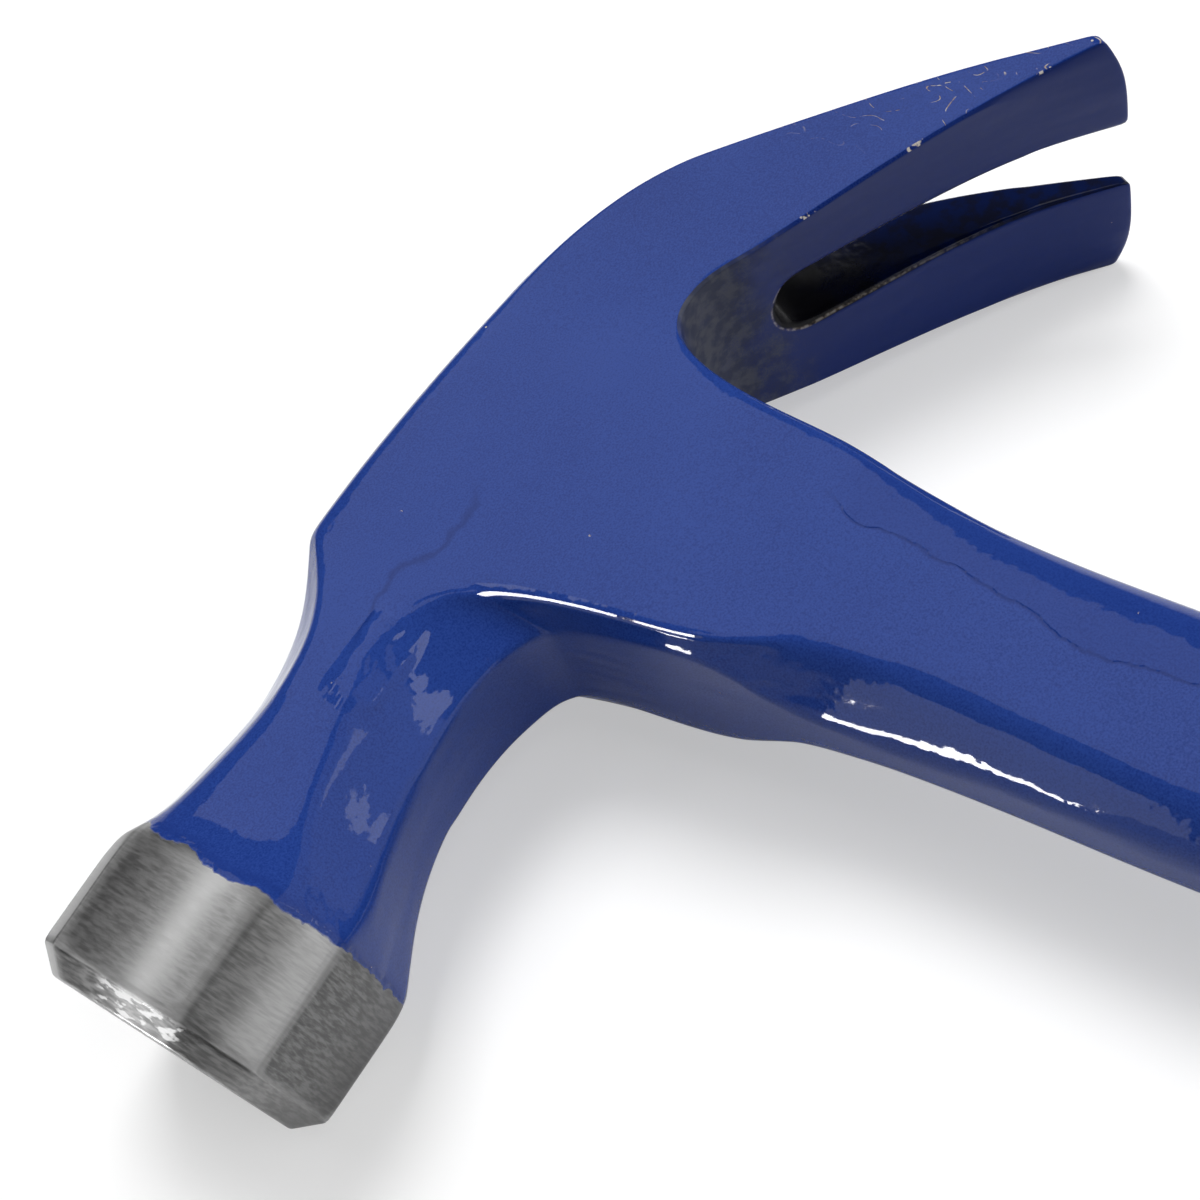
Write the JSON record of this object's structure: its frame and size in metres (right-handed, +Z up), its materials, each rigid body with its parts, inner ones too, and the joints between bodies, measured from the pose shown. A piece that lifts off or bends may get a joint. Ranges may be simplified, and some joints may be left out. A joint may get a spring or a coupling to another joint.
{
  "type": "nail hammer",
  "caption": "Solid forged steel claw hammer with a bare octagonal poll, blue enamelled head and shank, split curved claws and a ribbed cushion grip.",
  "frame": {"origin": "bottom centre of the bounding box, with the hammer lying on its side", "axes": "+X from the striking face to the claw tips, +Y from the butt of the grip to the top of the head, +Z up out of the side it lies on"},
  "size_m": [0.142, 0.343, 0.0367],
  "materials": {
    "blue_enamel": "glossy enamel over forged steel, ground bare on the poll",
    "liner_plastic": "satin moulded plastic",
    "grip_rubber": "matte moulded grip with ribs"
  },
  "bodies": {
    "root": {"head_and_shank": "blue_enamel", "grip_liner": "liner_plastic", "grip_sleeve": "grip_rubber"}
  },
  "joints": []
}
